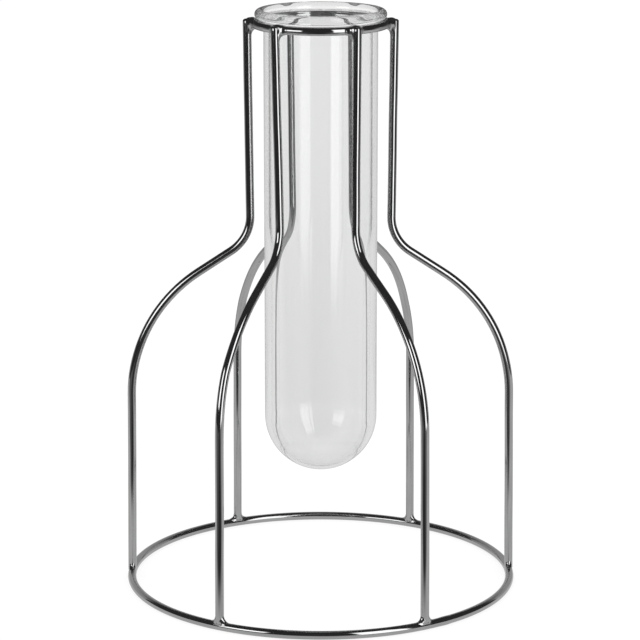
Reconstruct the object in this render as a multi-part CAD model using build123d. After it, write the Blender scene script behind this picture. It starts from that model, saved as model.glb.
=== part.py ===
from build123d import *
from math import atan2, cos, degrees, radians, sin, sqrt
import os

# Test tube vase: a glass test tube hangs by its lip in a bottle-shaped cage of round wire.
# Lengths are in millimetres and angles in degrees. +Z is up, -Y is the front, and the origin
# lies on the vase's axis, on the surface that it stands on.

# Wire, used for both rings and all ribs.
wire_radius = 1.5

# Glass tube. Its wall turns out at the mouth, ends in a round lip and thins under the round bottom.
tube_radius = 20.0
tube_wall = 2.2
tube_bottom_wall = 1.2
tube_bottom_height = 41.0
lip_flare = 1.3
lip_round = 1.8
under_lip_round = 1.5
mouth_flare_height = 4.2

# Top ring, the collar round the tube that carries its lip.
collar_clearance = 1.4
lip_seat_gap = 0.25
top_ring_height = 201.7

# Base ring. Its underside has a narrow flat, on which the vase stands.
base_ring_radius = 68.5
foot_flat_depth = 0.1

# Ribs. The heights are those of the two corners before they are rounded.
foot_splay = 1.1
shoulder_corner_height = 97.4
shoulder_bend_radius = 54.0
neck_lean = 0.8
neck_corner_height = 125.1
neck_bend_radius = 15.0
rib_end_round = 0.6

# Where each rib's foot stands on the base ring and its neck meets the top ring, in degrees
# round the axis. The cage is set up and welded by hand, a few degrees off an even sixth.
rib_places = ("right", "back_right", "back_left", "left", "front_left", "front_right")
foot_angles = (2.0, 60.0, 117.8, 180.0, 239.5, 301.5)
neck_angles = (-1.0, 60.0, 118.0, 179.5, 234.2, 299.0)

# Welds. A rib sinks a little into the ring that it is welded to.
foot_sink = 0.5
neck_sink = 0.2
foot_weld_reach = 2.9
foot_weld_round = 2.0
neck_weld_reach = 3.4
neck_weld_round = 1.9
neck_weld_drop = 0.7

# Places that follow from the sizes above.
top_ring_radius = tube_radius + collar_clearance + wire_radius
base_ring_height = wire_radius - foot_flat_depth
foot_height = base_ring_height + wire_radius - foot_sink
shoulder_corner_radius = base_ring_radius - foot_splay
neck_radius = top_ring_radius + 2 * wire_radius - neck_sink
neck_corner_radius = neck_radius - neck_lean
rib_top_height = top_ring_height + wire_radius
bore_radius = tube_radius - tube_wall
bore_end_height = tube_bottom_height + tube_bottom_wall + bore_radius
lip_radius = tube_radius + lip_flare
lip_height = top_ring_height + sqrt(
    (lip_round + wire_radius + lip_seat_gap) ** 2 - (top_ring_radius - lip_radius) ** 2
)


def wire_ring(radius, height):
    """A closed ring of wire, lying level."""
    return Pos(Z=height) * Torus(radius, wire_radius)


def base_ring():
    """The ring that the vase stands on, flattened a little underneath."""
    ring = wire_ring(base_ring_radius, base_ring_height)
    outside = base_ring_radius + 2 * wire_radius
    ground = Pos(Z=-wire_radius / 2) * Cylinder(outside, wire_radius)
    return ring - ground


def on_plan(radius, angle):
    """The X and Y of a point at this radius and angle round the axis."""
    return Vector(radius * cos(radians(angle)), radius * sin(radians(angle)))


def rib_plane(foot_angle, neck_angle):
    """The upright plane of a rib, with its origin under the neck and its X towards the foot."""
    neck = on_plan(neck_radius, neck_angle)
    foot = on_plan(base_ring_radius, foot_angle)
    return Plane(origin=neck, x_dir=foot - neck, z_dir=(foot - neck).cross(Vector(0, 0, 1)))


def rib(foot_angle, neck_angle):
    """One bent rib, before the rings are taken out of its ends."""
    plane = rib_plane(foot_angle, neck_angle)
    foot = on_plan(base_ring_radius, foot_angle)
    reach = (foot - plane.origin).length
    corners = [
        (reach, foot_height),
        (shoulder_corner_radius - neck_radius, shoulder_corner_height),
        (neck_corner_radius - neck_radius, neck_corner_height),
        (0, rib_top_height),
    ]
    path = plane * FilletPolyline(*corners, radius=[shoulder_bend_radius, neck_bend_radius])
    section = Plane(origin=path @ 0, z_dir=path % 0) * Circle(wire_radius)
    wire = sweep(section, path)
    return fillet(wire.edges().sort_by(Axis.Z)[-1], rib_end_round)


def weld_bead(reach, roundness):
    """A bead of weld, long along X and round about it."""
    outline = Ellipse(reach, roundness) & Pos(Y=roundness / 2) * Rectangle(2 * reach, roundness)
    return revolve(outline, Axis.X)


def foot_weld(foot_angle):
    """The bead round a rib's foot, lying along the base ring."""
    place = Rot(Z=foot_angle) * Pos(X=base_ring_radius, Z=foot_height) * Rot(Z=90)
    return place * weld_bead(foot_weld_reach, foot_weld_round)


def neck_weld(neck_angle):
    """The bead between a rib's upper end and the outside of the top ring."""
    contact_radius = top_ring_radius + wire_radius
    bead_height = top_ring_height - neck_weld_drop
    place = Rot(Z=neck_angle) * Pos(X=contact_radius, Z=bead_height) * Rot(Z=90)
    return place * weld_bead(neck_weld_reach, neck_weld_round)


def glass_tube():
    """The test tube: one turned profile, from the round bottom up to the lip and down the bore."""
    round_centre = Vector(0, tube_bottom_height + tube_radius)
    lip_centre = Vector(lip_radius, lip_height)
    mouth_edge = lip_centre - Vector(lip_round, 0)
    bore_top = Vector(bore_radius, lip_height - mouth_flare_height)

    # A small hollow round leads from the tube's side to the underside of the lip.
    hollow_radius = tube_radius + under_lip_round
    hollow_drop = sqrt((lip_round + under_lip_round) ** 2 - (hollow_radius - lip_radius) ** 2)
    hollow_centre = Vector(hollow_radius, lip_height - hollow_drop)
    lean = degrees(atan2(hollow_drop, lip_radius - hollow_radius))

    bottom = CenterArc(round_centre, tube_radius, -90, 90)
    hollow = CenterArc(hollow_centre, under_lip_round, 180, lean - 180)
    side = Line(bottom @ 1, hollow @ 0)
    lip = CenterArc(lip_centre, lip_round, lean - 180, 360 - lean)
    mouth = TangentArc(mouth_edge, (mouth_edge + bore_top) / 2, tangent=(0, -1))
    throat = TangentArc(mouth @ 1, bore_top, tangent=mouth % 1)
    bore_bottom = CenterArc(Vector(0, bore_end_height), bore_radius, 0, -90)
    bore = Line(throat @ 1, bore_bottom @ 0)
    axis = Line(bore_bottom @ 1, bottom @ 0)
    profile = make_face([bottom, side, hollow, lip, mouth, throat, bore, bore_bottom, axis])
    return revolve(Plane.XZ * profile, Axis.Z)


def vase():
    """Every piece of the vase by name, with nothing overlapping."""
    base = base_ring()
    top = wire_ring(top_ring_radius, top_ring_height)
    pieces = {"base_ring": base, "top_ring": top, "glass_tube": glass_tube()}
    for place, foot_angle, neck_angle in zip(rib_places, foot_angles, neck_angles):
        whole_rib = rib(foot_angle, neck_angle)
        pieces["rib_" + place] = whole_rib - base - top
        pieces["foot_weld_" + place] = foot_weld(foot_angle) - whole_rib - base
        pieces["neck_weld_" + place] = neck_weld(neck_angle) - whole_rib - top
    return pieces


os.makedirs("parts", exist_ok=True)
for name, piece in vase().items():
    export_step(piece, "parts/" + name + ".step")
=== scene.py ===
from math import acos, atan2, cos, degrees, pi, radians, sin, sqrt, tan

import bpy
import numpy as np
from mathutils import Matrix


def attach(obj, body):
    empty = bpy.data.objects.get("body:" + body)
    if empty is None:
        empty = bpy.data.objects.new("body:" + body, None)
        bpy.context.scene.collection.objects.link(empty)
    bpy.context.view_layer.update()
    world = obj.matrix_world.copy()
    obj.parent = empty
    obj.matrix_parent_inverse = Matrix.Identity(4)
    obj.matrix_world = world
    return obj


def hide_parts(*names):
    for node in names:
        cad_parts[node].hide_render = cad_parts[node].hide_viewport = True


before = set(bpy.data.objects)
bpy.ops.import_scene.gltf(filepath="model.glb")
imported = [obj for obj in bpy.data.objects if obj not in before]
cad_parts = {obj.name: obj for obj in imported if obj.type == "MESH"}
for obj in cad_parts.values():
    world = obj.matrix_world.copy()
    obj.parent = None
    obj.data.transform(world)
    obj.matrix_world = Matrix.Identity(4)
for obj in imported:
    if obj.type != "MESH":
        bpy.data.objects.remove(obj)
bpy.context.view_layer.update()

# Test tube vase: a glass test tube hangs by its lip in a bottle-shaped cage of plated wire.
# Lengths are in metres. +Z is up and -Y is the front.
MM = 0.001

# Wire, used for both rings and all ribs.
WIRE_RADIUS = 1.5 * MM

# Glass tube.
TUBE_RADIUS = 20.0 * MM
TUBE_WALL = 2.2 * MM
BORE_RADIUS = TUBE_RADIUS - TUBE_WALL
BOTTOM_WALL = 1.2 * MM
TUBE_BOTTOM_HEIGHT = 41.0 * MM
LIP_FLARE = 1.3 * MM
LIP_RADIUS = TUBE_RADIUS + LIP_FLARE
LIP_ROUND = 1.8 * MM
UNDER_LIP_ROUND = 0.8 * MM
MOUTH_FLARE_HEIGHT = 2.4 * MM

# Rings. The base ring has a narrow flat underneath, and the tube's lip hangs on the top ring.
BASE_RING_RADIUS = 68.5 * MM
FOOT_FLAT_DEPTH = 0.1 * MM
BASE_RING_HEIGHT = WIRE_RADIUS - FOOT_FLAT_DEPTH
COLLAR_CLEARANCE = 1.4 * MM
TOP_RING_RADIUS = TUBE_RADIUS + COLLAR_CLEARANCE + WIRE_RADIUS
TOP_RING_HEIGHT = 201.7 * MM
LIP_SEAT_GAP = 0.25 * MM
LIP_HEIGHT = TOP_RING_HEIGHT + sqrt(
    (LIP_ROUND + WIRE_RADIUS + LIP_SEAT_GAP) ** 2 - (TOP_RING_RADIUS - LIP_RADIUS) ** 2
)

# Ribs: the two corners of each rib before they are rounded, and its two ends, which sink a
# little into the rings.
FOOT_SINK = 0.5 * MM
FOOT_HEIGHT = BASE_RING_HEIGHT + WIRE_RADIUS - FOOT_SINK
FOOT_SPLAY = 1.1 * MM
SHOULDER_CORNER = (BASE_RING_RADIUS - FOOT_SPLAY, 97.4 * MM)
SHOULDER_BEND_RADIUS = 54.0 * MM
NECK_SINK = 0.2 * MM
NECK_RADIUS = TOP_RING_RADIUS + 2 * WIRE_RADIUS - NECK_SINK
NECK_LEAN = 0.8 * MM
NECK_CORNER = (NECK_RADIUS - NECK_LEAN, 125.1 * MM)
NECK_BEND_RADIUS = 15.0 * MM
RIB_TOP_HEIGHT = TOP_RING_HEIGHT + WIRE_RADIUS
RIB_END_ROUND = 0.9 * MM
RIB_PLACES = ("right", "back_right", "back_left", "left", "front_left", "front_right")
FOOT_ANGLES = (2.0, 60.0, 117.8, 180.0, 239.5, 301.5)
NECK_ANGLES = (-1.0, 60.0, 118.0, 179.5, 234.2, 299.0)

# How far the top of each neck is off its plane, in degrees round the axis, and the share of
# that turn which a neck has at four heights. Its lower end is off the other way.
NECK_TURNS = (0.0, 1.3, 1.0, 0.0, -1.9, 0.0)
TURN_HEIGHTS = (90 * MM, 122 * MM, 165 * MM, 203.2 * MM)
TURN_SHARES = (0, -1, 0, 1)

# Welds: how far the metal of a joint flows, its lumps, and how large a ball of it is modelled.
FOOT_FLOW = 2.7 * MM
NECK_FLOW = 3.4 * MM
LEAST_FLOW = 0.05 * MM
WELD_LUMP = 0.03 * MM
WELD_LUMP_LENGTH = 3.0 * MM
WELD_LUMP_SPREAD = (0.7, 1.5)
WELD_LUMP_WAVES = 4
WELD_REACH = 6.0 * MM
FOOT_WELD_RISE = 1.5 * MM
WELD_GROUND_GAP = 0.02 * MM
FOOT_SEED = 10
NECK_SEED = 20

# Where weld metal ends it sinks below the wires' surface, over these shares of its flow.
WELD_SINK = 0.15 * MM
WELD_SINK_START = 0.75
WELD_SINK_RUN = 0.3

# Wires are never quite straight, and each ring is closed by a butt weld.
WIRE_WAVE = 0.03 * MM
WIRE_WAVE_LENGTH = 60 * MM
WIRE_WAVE_SHARES = (1.0, 0.55, 0.35)
BUTT_WELD_SWELL = 0.16 * MM
BUTT_WELD_LENGTH = 1.6 * MM
BUTT_WELD_RIPPLE = 0.5
BUTT_WELD_RIPPLES = 4.5
BASE_BUTT_ANGLE = 308.5
TOP_BUTT_ANGLE = 92.0

# How finely wire, glass and weld metal are modelled.
WIRE_SIDES = 48
RING_STEPS = 360
RIB_STEP = 1.5 * MM
ARC_STEP = radians(2.5)
END_STEPS = 9
END_MARGIN = 1.05
END_CAP_SHARES = (0.6, 0.2)
GLASS_SIDES = 192
GLASS_BOTTOM_STEPS = 46
GLASS_SIDE_STEPS = 60
UNDER_LIP_STEPS = 12
LIP_STEPS = 48
MOUTH_STEPS = 20
BORE_STEPS = 60
BORE_END_STEPS = 40
WELD_GRID = 0.2 * MM
SETTLE_STEPS = 6
SLOPE_STEP = WELD_GRID / 10
LEAST_SLOPE = 0.05
LEAST_LENGTH = 0.01 * MM

# Finishes: colours and roughness where a noise is low and high, its cells to a metre along
# each axis, and the depth of its relief.
PLATE_DARK = (0.46, 0.46, 0.465)
PLATE_LIGHT = (0.53, 0.53, 0.535)
WIRE_ROUGHNESS = (0.06, 0.09)
WIRE_GRAIN = (90, 700, 1)
WIRE_RELIEF = 0.001 * MM
WELD_ROUGHNESS = (0.08, 0.16)
WELD_GRAIN = (400, 400, 400)
WELD_RELIEF = 0.006 * MM
GLASS_DARK = (0.955, 0.957, 0.956)
GLASS_LIGHT = (0.97, 0.972, 0.971)
GLASS_ROUGHNESS = (0.0, 0.006)
GLASS_GRAIN = (160, 160, 9)
GLASS_RELIEF = 0.004 * MM
GLASS_INDEX = 1.5
NOISE_RANGE = (0.3, 0.7)
NOISE_DETAIL = 2.0

# Camera: where it stands, how far it looks down, and its lens on a 36 mm sensor.
CAMERA_PLACE = (-0.27 * MM, -977 * MM, 326.5 * MM)
CAMERA_PITCH = radians(13.3)
SENSOR_WIDTH = 36.0
CAMERA_LENS = 158.4

# Studio. Brightness is linear, where 1 is pure white in the picture. The floor gives off most
# of its white itself, so that it stays white up to the vase's foot.
PAGE_WHITE = 1.03
DARK = 0.035
FLOOR_HALF_SIZE = 8.0
FLOOR_PAINT = 0.15
FLOOR_GLOW = 0.85

# A table that only reflections see: grey, but dark in front of the vase and less dark at the
# left and right of that. The edge of the dark front slants forward on the right.
TABLE_X = (-0.6, 0.6)
TABLE_Y = (-0.42, 1.2)
TABLE_HEIGHT = -1 * MM
TABLE_GLOW = 0.64
TABLE_REAR_GLOW = 0.45
TABLE_REAR_Y = (0.05, 0.5)
TABLE_FRONT_Y = (-0.135, -0.06)
TABLE_LEFT_GLOW = 0.15
TABLE_LEFT_X = (-0.22, -0.03)
TABLE_RIGHT_GLOW = 0.28
TABLE_RIGHT_X = (0.0, 0.2)
SLANT_START_X = 0.03
SLANT = 0.6

# A low backdrop that only reflections see, and over which share of its height it darkens.
BACKDROP_X = (-0.45, 0.45)
BACKDROP_Y = 0.22
BACKDROP_Z = (-0.02, 0.27)
BACKDROP_GLOW = 0.42
BACKDROP_FADE = (0.35, 1.0)

# Softboxes, which fade out towards their edges. Each has its azimuth in degrees from the
# front, the heights of its lower and upper edge, and its width.
LEFT_SOFTBOX = {"azimuth": -45, "low": 0.12, "high": 0.44, "width": 0.35}
RIGHT_SOFTBOX = {"azimuth": 35, "low": -0.06, "high": 0.85, "width": 0.36}
SOFTBOX_DISTANCE = 0.62
SOFTBOX_GLOW = 2.2
SOFTBOX_SIDE_FADE = 0.12
SOFTBOX_END_FADE = 0.08

# The world beyond the cards. Pairs are parts of a ray's direction, where Y runs from -1 in
# front to 1 behind, and Z from -1 below to 1 above.
REAR_Y = (0.0, 0.5)
HORIZON_Z = (-0.05, 0.08)
THROUGH_LOW_GLOW = 0.85
THROUGH_HIGH_GLOW = 0.95
THROUGH_Z = (-0.27, -0.13)
LIP_REAR_GLOW = 0.78
LIP_REAR_Y = (-0.5, 0.0)
LIP_ABOVE_Z = (0.0, 0.4)
LIP_GLOW = 0.60
LIP_FRONT_Y = (-0.95, -0.75)
BACK_WIRE_GLOW = 0.08

# A large soft lamp overhead, and how often light may bounce: it is thrown to and fro inside
# the glass lip many times.
LAMP_SIZE = 2.5
LAMP_HEIGHT = 2.0
LAMP_WATTS = 12.0
MOST_BOUNCES = 200


def add_mesh(name, points, faces, uv=None):
    """A smooth mesh object from points and faces, with a UV map where uv has its corners."""
    mesh = bpy.data.meshes.new(name)
    mesh.from_pydata([tuple(p) for p in points], [], [tuple(f) for f in faces])
    mesh.polygons.foreach_set("use_smooth", [True] * len(mesh.polygons))
    if uv is not None:
        layer = mesh.uv_layers.new(name="along_and_round")
        layer.data.foreach_set("uv", np.asarray(uv, np.float32).ravel())
    mesh.update()
    piece = bpy.data.objects.new(name, mesh)
    bpy.context.scene.collection.objects.link(piece)
    return piece


def lengths_along(points):
    """How far each point is along a line, from its first point."""
    steps = np.linalg.norm(np.diff(points, axis=0), axis=1)
    return np.concatenate([[0], np.cumsum(steps)])


def filleted_path(corners, radii):
    """Points along a flat line whose corners are rounded, from the first corner to the last."""
    corners = [np.array(c, float) for c in corners]
    points = [corners[0]]
    for before, corner, after, radius in zip(corners, corners[1:], corners[2:], radii):
        back = (before - corner) / np.linalg.norm(before - corner)
        ahead = (after - corner) / np.linalg.norm(after - corner)
        half = acos(np.clip(back @ ahead, -1, 1)) / 2
        middle = (back + ahead) / np.linalg.norm(back + ahead)
        centre = corner + middle * radius / sin(half)
        start = corner + back * radius / tan(half) - centre
        end = corner + ahead * radius / tan(half) - centre
        turn = atan2(start[0] * end[1] - start[1] * end[0], start @ end)
        points += run_points(points[-1], centre + start)
        steps = max(2, round(abs(turn) / ARC_STEP))
        for k in range(1, steps + 1):
            angle = turn * k / steps
            spun = (
                start[0] * cos(angle) - start[1] * sin(angle),
                start[0] * sin(angle) + start[1] * cos(angle),
            )
            points.append(centre + np.array(spun))
    return points + run_points(points[-1], corners[-1])


def run_points(start, end):
    """Even points on a straight run, without its start."""
    steps = max(1, round(np.linalg.norm(end - start) / RIB_STEP))
    return [start + (end - start) * k / steps for k in range(1, steps + 1)]


def sweep(name, path, across, closed=False, radii=None, end_round=0.0):
    """A round wire along a path. across is a direction square to the whole path."""
    path = np.array(path, float)
    if closed:
        tangents = np.roll(path, -1, 0) - np.roll(path, 1, 0)
    else:
        tangents = np.gradient(path, axis=0)
    tangents /= np.linalg.norm(tangents, axis=1)[:, None]
    radii = np.full(len(path), WIRE_RADIUS) if radii is None else np.array(radii, float)
    if end_round:
        path, tangents, radii = rounded_end(path, tangents, radii, end_round)
    across = np.array(across, float)
    sideways = np.cross(tangents, across)
    angles = np.linspace(0, 2 * pi, WIRE_SIDES, endpoint=False)
    spokes = (
        sideways[:, None, :] * np.cos(angles)[None, :, None]
        + across[None, None, :] * np.sin(angles)[None, :, None]
    )
    points = path[:, None, :] + spokes * radii[:, None, None]
    rings = len(path)
    along = lengths_along(path)
    loop = np.linalg.norm(path[-1] - path[0]) + along[-1]
    faces = []
    uv = []
    for i in range(rings if closed else rings - 1):
        j = (i + 1) % rings
        far = along[j] if j else loop
        here, there = i * WIRE_SIDES, j * WIRE_SIDES
        for k in range(WIRE_SIDES):
            m = (k + 1) % WIRE_SIDES
            faces.append((here + k, there + k, there + m, here + m))
            low = k * 2 * pi * WIRE_RADIUS / WIRE_SIDES
            high = (k + 1) * 2 * pi * WIRE_RADIUS / WIRE_SIDES
            uv += [(along[i], low), (far, low), (far, high), (along[i], high)]
    if not closed:
        last = (rings - 1) * WIRE_SIDES
        faces.append(tuple(range(WIRE_SIDES)))
        faces.append(tuple(last + k for k in range(WIRE_SIDES))[::-1])
        uv += [(along[0], 0.0)] * WIRE_SIDES + [(along[-1], 0.0)] * WIRE_SIDES
    return add_mesh(name, points.reshape(-1, 3), faces, uv)


def rounded_end(path, tangents, radii, end_round):
    """Draws the last stretch of a wire in to a rounded end."""
    end, tangent, radius = path[-1], tangents[-1], radii[-1]
    keep = np.linalg.norm(path - end, axis=1) > end_round * END_MARGIN
    path, tangents, radii = list(path[keep]), list(tangents[keep]), list(radii[keep])
    for angle in np.linspace(0, pi / 2, END_STEPS):
        path.append(end - tangent * end_round * (1 - sin(angle)))
        tangents.append(tangent)
        radii.append(radius - end_round * (1 - cos(angle)))
    for share in END_CAP_SHARES:
        path.append(end)
        tangents.append(tangent)
        radii.append((radius - end_round) * share)
    return np.array(path), np.array(tangents), np.array(radii)


def wavy(line, across, seed):
    """The same line with a slight waviness, which dies out at its ends."""
    line = np.array(line, float)
    along = lengths_along(line)
    fade = np.sqrt(np.clip(np.sin(pi * along / along[-1]), 0, 1))
    rng = np.random.default_rng(seed)
    tangents = np.gradient(line, axis=0)
    tangents /= np.linalg.norm(tangents, axis=1)[:, None]
    inward = np.cross(tangents, across)
    for direction in (inward, np.array(across)[None, :]):
        wave = np.zeros(len(line))
        for share in WIRE_WAVE_SHARES:
            phase = rng.uniform(0, 2 * pi)
            wave += share * np.sin(2 * pi * along / (share * WIRE_WAVE_LENGTH) + phase)
        line = line + direction * (wave * fade * WIRE_WAVE)[:, None]
    return line


def turned_neck(line, turn):
    """The same line with its neck turned a little round the axis."""
    turned = []
    for x, y, z in line:
        angle = radians(turn * np.interp(z, TURN_HEIGHTS, TURN_SHARES))
        turned.append((x * cos(angle) - y * sin(angle), x * sin(angle) + y * cos(angle), z))
    return np.array(turned)


def butt_weld_radii(angle, ring_radius):
    """The wire's radius round a ring that is closed by a slightly swollen weld."""
    angles = np.linspace(0, 360, RING_STEPS, endpoint=False)
    off = np.radians((angles - angle + 180) % 360 - 180) * ring_radius / BUTT_WELD_LENGTH
    swell = np.exp(-(off**2)) * (1 + BUTT_WELD_RIPPLE * np.cos(off * BUTT_WELD_RIPPLES))
    return WIRE_RADIUS + BUTT_WELD_SWELL * swell / (1 + BUTT_WELD_RIPPLE)


def ring_distance(points, radius, height):
    """How far points are from the surface of a ring of wire, and which way that grows."""
    plan = np.hypot(points[..., 0], points[..., 1])
    spoke = points * (1, 1, 0) / plan[..., None]
    offset = spoke * (plan - radius)[..., None] + (points[..., 2:] - height) * (0, 0, 1)
    length = np.linalg.norm(offset, axis=-1)
    return length - WIRE_RADIUS, offset / np.maximum(length, LEAST_LENGTH)[..., None]


def rib_distance(points, end, heading):
    """How far points are from the surface of a rib near its end, and which way that grows."""
    along = (points - end) @ heading
    offset = points - end - np.minimum(along, 0)[..., None] * heading
    across = np.linalg.norm(points - end - along[..., None] * heading, axis=-1)
    over = np.maximum(along + RIB_END_ROUND, 0)
    out = np.maximum(across - (WIRE_RADIUS - RIB_END_ROUND), 0)
    inside = np.minimum(np.maximum(across - WIRE_RADIUS, along), -RIB_END_ROUND)
    distance = np.where((over > 0) | (out > 0), np.hypot(over, out) - RIB_END_ROUND, inside)
    length = np.linalg.norm(offset, axis=-1)
    return distance, offset / np.maximum(length, LEAST_LENGTH)[..., None]


def weld_distance(points, joint, waves):
    """Negative inside the weld metal, which fills the hollow between a rib and a ring."""
    to_ring, ring_way = ring_distance(points, joint["ring_radius"], joint["ring_height"])
    to_rib, rib_way = rib_distance(points, joint["rib_end"], joint["rib_heading"])
    hollow = np.clip(1 - (ring_way * rib_way).sum(-1), 0, 1)
    flow = np.maximum(joint["flow"] * hollow, LEAST_FLOW)
    apart = np.abs(to_ring - to_rib) / flow
    blend = np.maximum(1 - apart, 0)
    merged = np.minimum(to_ring, to_rib) - blend * blend * flow / 4
    lumps = sum(np.sin(points @ wave + phase) for wave, phase in waves)
    merged -= WELD_LUMP * lumps * blend * hollow
    merged += WELD_SINK * np.clip((apart - WELD_SINK_START) / WELD_SINK_RUN, 0, 1)
    beyond = np.linalg.norm(points - joint["centre"], axis=-1) - WELD_REACH
    return np.maximum(merged, beyond)


def net_surface(distance, centre, half, step):
    """The closed surface where distance is zero, as points and quads on a grid of cells."""
    counts = np.ceil(2 * half / step).astype(int) + 1
    axes = [centre[k] - half[k] + step * np.arange(counts[k]) for k in range(3)]
    grid = np.stack(np.meshgrid(*axes, indexing="ij"), axis=-1)
    inside = distance(grid) < 0
    cells = tuple(counts - 1)
    low = inside[:-1, :-1, :-1]
    mixed = np.zeros(cells, bool)
    for i in (0, 1):
        for j in (0, 1):
            for k in (0, 1):
                corner = inside[i:i + cells[0], j:j + cells[1], k:k + cells[2]]
                mixed |= corner != low
    index = -np.ones(cells, int)
    index[mixed] = np.arange(mixed.sum())
    points = (grid[:-1, :-1, :-1] + step / 2)[mixed]
    faces = []
    for axis in range(3):
        ahead = np.roll(inside, -1, axis)
        crossing = inside != ahead
        b, c = (axis + 1) % 3, (axis + 2) % 3
        for place in np.argwhere(crossing):
            if place[axis] == counts[axis] - 1 or place[b] == 0 or place[c] == 0:
                continue
            corners = []
            for db, dc in ((-1, -1), (0, -1), (0, 0), (-1, 0)):
                cell = place.copy()
                cell[b] += db
                cell[c] += dc
                corners.append(index[tuple(cell)])
            faces.append(corners if inside[tuple(place)] else corners[::-1])
    return points, faces


def slope_of(distance, points):
    """How fast distance grows at each point, along X, Y and Z."""
    rises = [
        distance(points + SLOPE_STEP * axis) - distance(points - SLOPE_STEP * axis)
        for axis in np.eye(3)
    ]
    return np.stack(rises, axis=-1) / (2 * SLOPE_STEP)


def settle(points, distance):
    """Moves points onto the surface where distance is zero, by a few Newton steps."""
    for _ in range(SETTLE_STEPS):
        value = np.clip(distance(points), -WELD_GRID, WELD_GRID)
        slope = slope_of(distance, points)
        size = np.maximum((slope**2).sum(-1), LEAST_SLOPE)
        points = points - slope * (value / size)[:, None]
    return points


def weld(name, joint, seed):
    """The weld metal of one joint as a closed mesh."""
    rng = np.random.default_rng(seed)
    waves = []
    for _ in range(WELD_LUMP_WAVES):
        heading = rng.normal(size=3)
        length = WELD_LUMP_LENGTH * rng.uniform(*WELD_LUMP_SPREAD)
        heading *= 2 * pi / (length * np.linalg.norm(heading))
        waves.append((heading, rng.uniform(0, 2 * pi)))

    def distance(points):
        return weld_distance(points, joint, waves)

    half = np.full(3, WELD_REACH + 2 * WELD_GRID)
    points, faces = net_surface(distance, joint["centre"], half, WELD_GRID)
    points = settle(points, distance)
    points[:, 2] = np.maximum(points[:, 2], WELD_GROUND_GAP)
    return add_mesh(name, points, faces)


def foot_joint(line):
    """Where a rib's foot stands on the base ring."""
    return {
        "ring_radius": BASE_RING_RADIUS,
        "ring_height": BASE_RING_HEIGHT,
        "rib_end": line[0],
        "rib_heading": (line[0] - line[1]) / np.linalg.norm(line[0] - line[1]),
        "flow": FOOT_FLOW,
        "centre": line[0] + (0, 0, FOOT_WELD_RISE),
    }


def neck_joint(line):
    """Where a rib's upper end meets the outside of the top ring."""
    angle = degrees(atan2(line[-1][1], line[-1][0]))
    contact = on_plan(TOP_RING_RADIUS + WIRE_RADIUS, angle)
    return {
        "ring_radius": TOP_RING_RADIUS,
        "ring_height": TOP_RING_HEIGHT,
        "rib_end": line[-1],
        "rib_heading": (line[-1] - line[-2]) / np.linalg.norm(line[-1] - line[-2]),
        "flow": NECK_FLOW,
        "centre": contact + (0, 0, TOP_RING_HEIGHT),
    }


def on_plan(radius, angle):
    """The X and Y of a point at this radius and angle in degrees round the axis."""
    return np.array((radius * cos(radians(angle)), radius * sin(radians(angle)), 0.0))


def ring_path(radius, height):
    """Points round a level ring."""
    angles = np.linspace(0, 360, RING_STEPS, endpoint=False)
    return [on_plan(radius, angle) + (0, 0, height) for angle in angles]


def rib_line(foot_angle, neck_angle):
    """The centre line of one rib, and the direction square to its plane."""
    neck = on_plan(NECK_RADIUS, neck_angle)
    foot = on_plan(BASE_RING_RADIUS, foot_angle)
    reach = np.linalg.norm(foot - neck)
    outward = (foot - neck) / reach
    corners = [
        (reach, FOOT_HEIGHT),
        (SHOULDER_CORNER[0] - NECK_RADIUS, SHOULDER_CORNER[1]),
        (NECK_CORNER[0] - NECK_RADIUS, NECK_CORNER[1]),
        (0, RIB_TOP_HEIGHT),
    ]
    flat = filleted_path(corners, (SHOULDER_BEND_RADIUS, NECK_BEND_RADIUS))
    line = [neck + outward * s + (0, 0, z) for s, z in flat]
    return line, np.cross(outward, (0, 0, 1))


def arc_points(centre, radius, start, end, steps):
    """Points of a profile on an arc from one angle to another, in degrees."""
    return [
        (centre[0] + radius * cos(radians(angle)), centre[1] + radius * sin(radians(angle)))
        for angle in np.linspace(start, end, steps)
    ]


def glass_profile():
    """Radius and height of points round the tube's section, up outside and down inside."""
    centre = TUBE_BOTTOM_HEIGHT + TUBE_RADIUS
    bore_end = TUBE_BOTTOM_HEIGHT + BOTTOM_WALL + BORE_RADIUS
    points = arc_points((0, centre), TUBE_RADIUS, -90, 0, GLASS_BOTTOM_STEPS)

    # A small hollow leads from the tube's side to the underside of the round lip.
    hollow_radius = TUBE_RADIUS + UNDER_LIP_ROUND
    hollow_reach = LIP_ROUND + UNDER_LIP_ROUND
    hollow_drop = sqrt(hollow_reach**2 - (hollow_radius - LIP_RADIUS) ** 2)
    hollow_height = LIP_HEIGHT - hollow_drop
    lean = degrees(atan2(hollow_drop, LIP_RADIUS - hollow_radius))
    for share in np.linspace(0, 1, GLASS_SIDE_STEPS)[1:-1]:
        points.append((TUBE_RADIUS, centre + (hollow_height - centre) * share))
    hollow_centre = (hollow_radius, hollow_height)
    points += arc_points(hollow_centre, UNDER_LIP_ROUND, 180, lean, UNDER_LIP_STEPS)
    points += arc_points((LIP_RADIUS, LIP_HEIGHT), LIP_ROUND, lean - 180, 180, LIP_STEPS)[1:]

    mouth = LIP_RADIUS - LIP_ROUND
    top = LIP_HEIGHT - MOUTH_FLARE_HEIGHT
    for share in np.linspace(0, 1, MOUTH_STEPS)[1:]:
        radius = mouth + (BORE_RADIUS - mouth) * (1 - cos(pi * share)) / 2
        points.append((radius, LIP_HEIGHT - MOUTH_FLARE_HEIGHT * share))
    for share in np.linspace(0, 1, BORE_STEPS)[1:]:
        points.append((BORE_RADIUS, top + (bore_end - top) * share))
    return points + arc_points((0, bore_end), BORE_RADIUS, 0, -90, BORE_END_STEPS)[1:]


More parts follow.
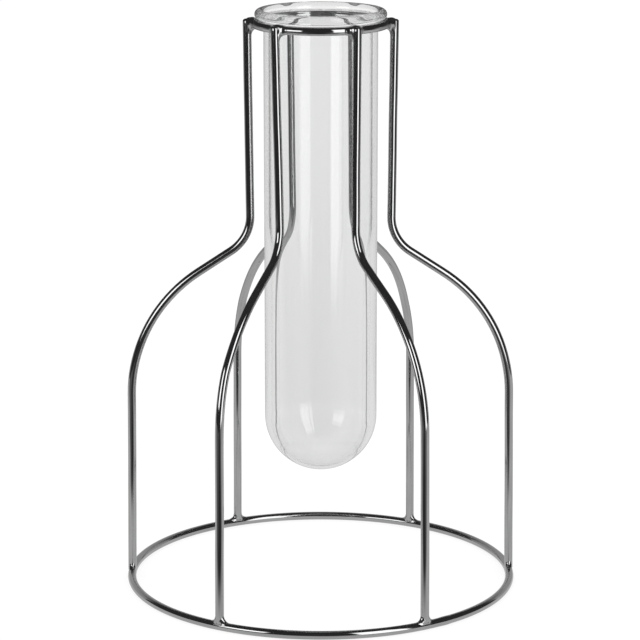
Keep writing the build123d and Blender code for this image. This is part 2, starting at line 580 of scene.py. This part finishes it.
def turn_profile(name, profile):
    """A solid of revolution from a profile that starts and ends on the axis."""
    angles = np.linspace(0, 2 * pi, GLASS_SIDES, endpoint=False)
    inner = profile[1:-1]
    points = [(0, 0, profile[0][1])]
    for radius, height in inner:
        points += [(radius * cos(a), radius * sin(a), height) for a in angles]
    points.append((0, 0, profile[-1][1]))
    last = len(points) - 1
    top = 1 + (len(inner) - 1) * GLASS_SIDES
    faces = []
    for k in range(GLASS_SIDES):
        m = (k + 1) % GLASS_SIDES
        faces.append((0, 1 + m, 1 + k))
        for i in range(len(inner) - 1):
            low, high = 1 + i * GLASS_SIDES, 1 + (i + 1) * GLASS_SIDES
            faces.append((low + k, low + m, high + m, high + k))
        faces.append((top + k, top + m, last))
    return add_mesh(name, points, faces)


def new_material(name):
    """A node material and its Principled shader."""
    material = bpy.data.materials.new(name)
    material.use_nodes = True
    return material, material.node_tree.nodes["Principled BSDF"]


def add_node(tree, kind, **values):
    """A node whose named inputs or properties are set."""
    node = tree.nodes.new(kind)
    for key, value in values.items():
        if key in node.inputs:
            node.inputs[key].default_value = value
        else:
            setattr(node, key, value)
    return node


def feed(tree, socket, source):
    """Sets a socket to a number, or joins another socket to it."""
    if isinstance(source, float):
        socket.default_value = source
    else:
        tree.links.new(source, socket)


def ramp(tree, value, span, below, above, kind="SMOOTHSTEP"):
    """Runs from below to above as a value crosses a span. Each end is a number or a socket."""
    node = add_node(tree, "ShaderNodeMapRange", interpolation_type=kind)
    feed(tree, node.inputs["Value"], value)
    feed(tree, node.inputs["From Min"], span[0])
    feed(tree, node.inputs["From Max"], span[1])
    feed(tree, node.inputs["To Min"], below)
    feed(tree, node.inputs["To Max"], above)
    return node.outputs["Result"]


def past(tree, count, limit, before, after):
    """One thing while a ray's count is up to a limit, and another once it is past it."""
    return ramp(tree, count, (limit, limit + 0.5), before, after)


def combine(tree, operation, first, second):
    """One step of arithmetic on numbers or sockets."""
    node = add_node(tree, "ShaderNodeMath", operation=operation)
    feed(tree, node.inputs[0], first)
    feed(tree, node.inputs[1], second)
    return node.outputs["Value"]


def place_axes(tree, kind):
    """The X, Y and Z sockets of a texture coordinate."""
    coords = add_node(tree, "ShaderNodeTexCoord")
    axes = add_node(tree, "ShaderNodeSeparateXYZ")
    tree.links.new(coords.outputs[kind], axes.inputs["Vector"])
    return axes.outputs


def noise_factor(tree, kind, grain):
    """A noise over the UV map or the object's own coordinates, with so many cells a metre."""
    coords = add_node(tree, "ShaderNodeTexCoord")
    place = add_node(tree, "ShaderNodeMapping", Scale=grain)
    noise = add_node(tree, "ShaderNodeTexNoise", Scale=1.0, Detail=NOISE_DETAIL)
    tree.links.new(coords.outputs[kind], place.inputs["Vector"])
    tree.links.new(place.outputs["Vector"], noise.inputs["Vector"])
    return noise.outputs["Fac"]


def two_tones(tree, factor, dark, light):
    """A grey between two tones, each red, green and blue."""
    tones = add_node(tree, "ShaderNodeValToRGB")
    for element, position, tone in zip(tones.color_ramp.elements, NOISE_RANGE, (dark, light)):
        element.position = position
        element.color = (*tone, 1)
    tree.links.new(factor, tones.inputs["Fac"])
    return tones.outputs["Color"]


def grained(material, shader, kind, grain, tones, roughness, relief):
    """Lets one noise vary a material's colour, roughness and relief."""
    tree = material.node_tree
    noise = noise_factor(tree, kind, grain)
    tree.links.new(two_tones(tree, noise, *tones), shader.inputs["Base Color"])
    rough = ramp(tree, noise, NOISE_RANGE, *roughness, kind="LINEAR")
    tree.links.new(rough, shader.inputs["Roughness"])
    bump = add_node(tree, "ShaderNodeBump", Strength=1.0, Distance=relief)
    tree.links.new(noise, bump.inputs["Height"])
    tree.links.new(bump.outputs["Normal"], shader.inputs["Normal"])
    return material


def plate_material(name, kind, grain, roughness, relief):
    """Bright plate over metal with this grain."""
    material, shader = new_material(name)
    shader.inputs["Metallic"].default_value = 1.0
    return grained(material, shader, kind, grain, (PLATE_DARK, PLATE_LIGHT), roughness, relief)


def wire_material():
    """Plated wire, with the fine lengthwise grain that drawing leaves."""
    return plate_material("bright_plate_wire", "UV", WIRE_GRAIN, WIRE_ROUGHNESS, WIRE_RELIEF)


def weld_material():
    """Plated weld metal, a little rougher than the wire."""
    return plate_material("bright_plate_weld", "Object", WELD_GRAIN, WELD_ROUGHNESS, WELD_RELIEF)


def glass_material():
    """Clear glass with the faint lengthwise waves of drawn tubing."""
    material, shader = new_material("clear_glass")
    shader.inputs["Transmission Weight"].default_value = 1.0
    shader.inputs["IOR"].default_value = GLASS_INDEX
    tones = (GLASS_DARK, GLASS_LIGHT)
    return grained(
        material, shader, "Object", GLASS_GRAIN, tones, GLASS_ROUGHNESS, GLASS_RELIEF
    )


def glow_material(name):
    """A material that only glows, with its node tree and the socket of its strength."""
    material = bpy.data.materials.new(name)
    material.use_nodes = True
    tree = material.node_tree
    tree.nodes.clear()
    out = add_node(tree, "ShaderNodeOutputMaterial")
    glow = add_node(tree, "ShaderNodeEmission")
    tree.links.new(glow.outputs["Emission"], out.inputs["Surface"])
    return material, tree, glow.inputs["Strength"]


def finish_piece(piece, material, body, slot, *nodes):
    """Gives a piece its material, its body and the CAD nodes that it stands for. The slot argument
    is not used.
    """
    piece.data.materials.append(material)
    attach(piece, body)
    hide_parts(*nodes)


def ring_wire(name, radius, height, butt_angle):
    """A level ring of wire with its butt weld."""
    radii = butt_weld_radii(butt_angle, radius)
    return sweep(name, ring_path(radius, height), (0, 0, 1), closed=True, radii=radii)


def add_base_ring(plate):
    """The ring that the vase stands on, flat where it touches the ground."""
    ring = ring_wire("base_ring_wire", BASE_RING_RADIUS, BASE_RING_HEIGHT, BASE_BUTT_ANGLE)
    for vertex in ring.data.vertices:
        vertex.co.z = max(vertex.co.z, 0.0)
    finish_piece(ring, plate, "frame", "wire", "base_ring")


def add_top_ring(plate):
    """The ring that the tube's lip hangs on."""
    ring = ring_wire("top_ring_wire", TOP_RING_RADIUS, TOP_RING_HEIGHT, TOP_BUTT_ANGLE)
    finish_piece(ring, plate, "frame", "wire", "top_ring")


def add_ribs(plate, weld_plate):
    """The ribs, each with the weld metal at its foot and at its neck."""
    ribs = zip(RIB_PLACES, FOOT_ANGLES, NECK_ANGLES, NECK_TURNS)
    for seed, (place, foot_angle, neck_angle, turn) in enumerate(ribs):
        line, across = rib_line(foot_angle, neck_angle)
        line = turned_neck(line, turn)
        bent = wavy(line, across, seed)
        rib = sweep("rib_wire_" + place, bent, across, end_round=RIB_END_ROUND)
        finish_piece(rib, plate, "frame", "wire", "rib_" + place)
        foot = weld("foot_weld_metal_" + place, foot_joint(line), FOOT_SEED + seed)
        finish_piece(foot, weld_plate, "frame", "weld", "foot_weld_" + place)
        neck = weld("neck_weld_metal_" + place, neck_joint(line), NECK_SEED + seed)
        finish_piece(neck, weld_plate, "frame", "weld", "neck_weld_" + place)


def add_tube(glass):
    """The test tube."""
    tube = turn_profile("glass_tube_turned", glass_profile())
    finish_piece(tube, glass, "tube", "glass", "glass_tube")


def add_camera():
    """The photo's camera."""
    camera_data = bpy.data.cameras.new("camera")
    camera_data.sensor_width = SENSOR_WIDTH
    camera_data.lens = CAMERA_LENS
    camera = bpy.data.objects.new("camera", camera_data)
    camera.location = CAMERA_PLACE
    camera.rotation_euler = (pi / 2 - CAMERA_PITCH, 0, 0)
    bpy.context.scene.collection.objects.link(camera)
    bpy.context.scene.camera = camera


def corners_of(across, up):
    """The four corners of a rectangle, from its two extents."""
    return [(across[0], up[0]), (across[1], up[0]), (across[1], up[1]), (across[0], up[1])]


def add_card(name, corners):
    """A flat card of the studio with four corners, and a UV map from 0 to 1 over it."""
    card = add_mesh(name, corners, [(0, 1, 2, 3)], uv=corners_of((0, 1), (0, 1)))
    return card


def only_for_reflections(card, in_glass=False):
    """Hides a card from all but glossy rays, and those that leave the glass if in_glass."""
    card.visible_camera = False
    card.visible_diffuse = False
    card.visible_transmission = in_glass
    card.visible_shadow = False


def add_floor():
    """A plain white floor for the camera, which reflections and glass don't see."""
    extent = (-FLOOR_HALF_SIZE, FLOOR_HALF_SIZE)
    floor = add_card("floor", [(x, y, 0.0) for x, y in corners_of(extent, extent)])
    material, shader = new_material("pale_floor")
    shader.inputs["Base Color"].default_value = (FLOOR_PAINT, FLOOR_PAINT, FLOOR_PAINT, 1)
    shader.inputs["Emission Color"].default_value = (1, 1, 1, 1)
    shader.inputs["Emission Strength"].default_value = FLOOR_GLOW
    shader.inputs["Specular IOR Level"].default_value = 0.0
    floor.data.materials.append(material)
    floor.visible_glossy = False
    floor.visible_transmission = False


def add_table():
    """The table that the wires mirror."""
    table = add_card("table_card", [(x, y, TABLE_HEIGHT) for x, y in corners_of(TABLE_X, TABLE_Y)])
    material, tree, strength = glow_material("table_card")
    axes = place_axes(tree, "Object")
    to_right = combine(tree, "SUBTRACT", axes["X"], SLANT_START_X)
    to_right = combine(tree, "MAXIMUM", to_right, 0.0)
    inward = combine(tree, "ADD", axes["Y"], combine(tree, "MULTIPLY", to_right, SLANT))
    plain = ramp(tree, axes["Y"], TABLE_REAR_Y, TABLE_GLOW, TABLE_REAR_GLOW)
    in_front = ramp(tree, axes["X"], TABLE_LEFT_X, TABLE_LEFT_GLOW, DARK)
    in_front = ramp(tree, axes["X"], TABLE_RIGHT_X, in_front, TABLE_RIGHT_GLOW)
    tree.links.new(ramp(tree, inward, TABLE_FRONT_Y, in_front, plain), strength)
    table.data.materials.append(material)
    only_for_reflections(table)


def add_backdrop():
    """The backdrop that the wires mirror."""
    corners = [(x, BACKDROP_Y, z) for x, z in corners_of(BACKDROP_X, BACKDROP_Z)]
    backdrop = add_card("backdrop_card", corners)
    material, tree, strength = glow_material("backdrop_card")
    height = place_axes(tree, "UV")["Y"]
    tree.links.new(ramp(tree, height, BACKDROP_FADE, BACKDROP_GLOW, DARK), strength)
    backdrop.data.materials.append(material)
    only_for_reflections(backdrop)


def edge_fade(tree, along, fade):
    """Runs from 0 at both edges of a card up to 1 inside it, along one axis of its UV map."""
    to_edge = combine(tree, "MINIMUM", along, combine(tree, "SUBTRACT", 1.0, along))
    return ramp(tree, to_edge, (0.0, fade), 0.0, 1.0)


def add_softbox(name, azimuth, low, high, width):
    """A soft light that only reflections show, turned towards the vase."""
    turn = radians(azimuth)
    out = np.array((sin(turn), -cos(turn), 0.0))
    side = np.array((cos(turn), sin(turn), 0.0))
    middle = out * SOFTBOX_DISTANCE
    corners = corners_of((-0.5, 0.5), (low, high))
    box = add_card(name, [middle + side * width * x + (0, 0, z) for x, z in corners])
    material, tree, strength = glow_material(name)
    strength.default_value = SOFTBOX_GLOW
    axes = place_axes(tree, "UV")
    sides = edge_fade(tree, axes["X"], SOFTBOX_SIDE_FADE)
    ends = edge_fade(tree, axes["Y"], SOFTBOX_END_FADE)
    solid = combine(tree, "MULTIPLY", sides, ends)
    path = add_node(tree, "ShaderNodeLightPath").outputs
    solid = combine(tree, "MULTIPLY", solid, past(tree, path["Glossy Depth"], 0.0, 0.0, 1.0))
    clear = add_node(tree, "ShaderNodeBsdfTransparent")
    mix = add_node(tree, "ShaderNodeMixShader")
    tree.links.new(solid, mix.inputs["Fac"])
    tree.links.new(clear.outputs["BSDF"], mix.inputs[1])
    tree.links.new(strength.node.outputs["Emission"], mix.inputs[2])
    tree.links.new(mix.outputs["Shader"], tree.nodes["Material Output"].inputs["Surface"])
    box.data.materials.append(material)
    only_for_reflections(box, in_glass=True)


def make_world():
    """What each kind of ray sees beyond the cards."""
    world = bpy.data.worlds.new("studio")
    bpy.context.scene.world = world
    world.use_nodes = True
    tree = world.node_tree
    tree.nodes.clear()
    out = add_node(tree, "ShaderNodeOutputWorld")
    shade = add_node(tree, "ShaderNodeBackground")
    tree.links.new(shade.outputs["Background"], out.inputs["Surface"])
    axes = place_axes(tree, "Generated")
    path = add_node(tree, "ShaderNodeLightPath").outputs
    through_glass = path["Transmission Depth"]
    reflected = path["Glossy Depth"]

    # Off a wire: dark, but for the table's grey low down behind.
    rear = ramp(tree, axes["Y"], REAR_Y, DARK, TABLE_REAR_GLOW)
    studio = ramp(tree, axes["Z"], HORIZON_Z, rear, DARK)

    # Thrown about inside the glass: pale all round, but dark in front.
    behind_lip = ramp(tree, axes["Y"], LIP_REAR_Y, DARK, LIP_REAR_GLOW)
    under_lip = ramp(tree, axes["Z"], LIP_ABOVE_Z, behind_lip, DARK)
    round_lip = ramp(tree, axes["Y"], LIP_FRONT_Y, DARK, LIP_GLOW)
    in_lip = combine(tree, "MAXIMUM", under_lip, round_lip)

    # Off a wire that is seen through the whole tube.
    on_back_wires = combine(tree, "MAXIMUM", studio, BACK_WIRE_GLOW)

    twice_through = past(tree, reflected, 1.0, on_back_wires, in_lip)
    in_glass = past(tree, through_glass, 3.0, in_lip, twice_through)
    bounced = past(tree, through_glass, 0.0, studio, in_glass)
    through = ramp(tree, axes["Z"], THROUGH_Z, THROUGH_LOW_GLOW, THROUGH_HIGH_GLOW)
    straight = past(tree, through_glass, 0.0, PAGE_WHITE, through)
    seen = past(tree, reflected, 0.0, straight, bounced)
    seen = past(tree, path["Is Diffuse Ray"], 0.0, seen, PAGE_WHITE)
    tree.links.new(seen, shade.inputs["Color"])


def add_lamp():
    """The soft lamp overhead, which lights the floor alone."""
    lamp_data = bpy.data.lights.new("soft_lamp", "AREA")
    lamp_data.shape = "DISK"
    lamp_data.size = LAMP_SIZE
    lamp_data.energy = LAMP_WATTS
    lamp = bpy.data.objects.new("soft_lamp", lamp_data)
    lamp.location = (0, 0, LAMP_HEIGHT)
    lamp.visible_glossy = False
    lamp.visible_transmission = False
    bpy.context.scene.collection.objects.link(lamp)


def set_light_paths():
    """Plain tones, and enough bounces for the glass."""
    bpy.context.scene.view_settings.view_transform = "Standard"
    light_paths = bpy.context.scene.cycles
    light_paths.max_bounces = MOST_BOUNCES
    light_paths.glossy_bounces = MOST_BOUNCES
    light_paths.transmission_bounces = MOST_BOUNCES


wire_plate = wire_material()
add_base_ring(wire_plate)
add_top_ring(wire_plate)
add_ribs(wire_plate, weld_material())
add_tube(glass_material())

add_camera()
add_floor()
add_table()
add_backdrop()
add_softbox("left_softbox", **LEFT_SOFTBOX)
add_softbox("right_softbox", **RIGHT_SOFTBOX)
make_world()
add_lamp()
set_light_paths()
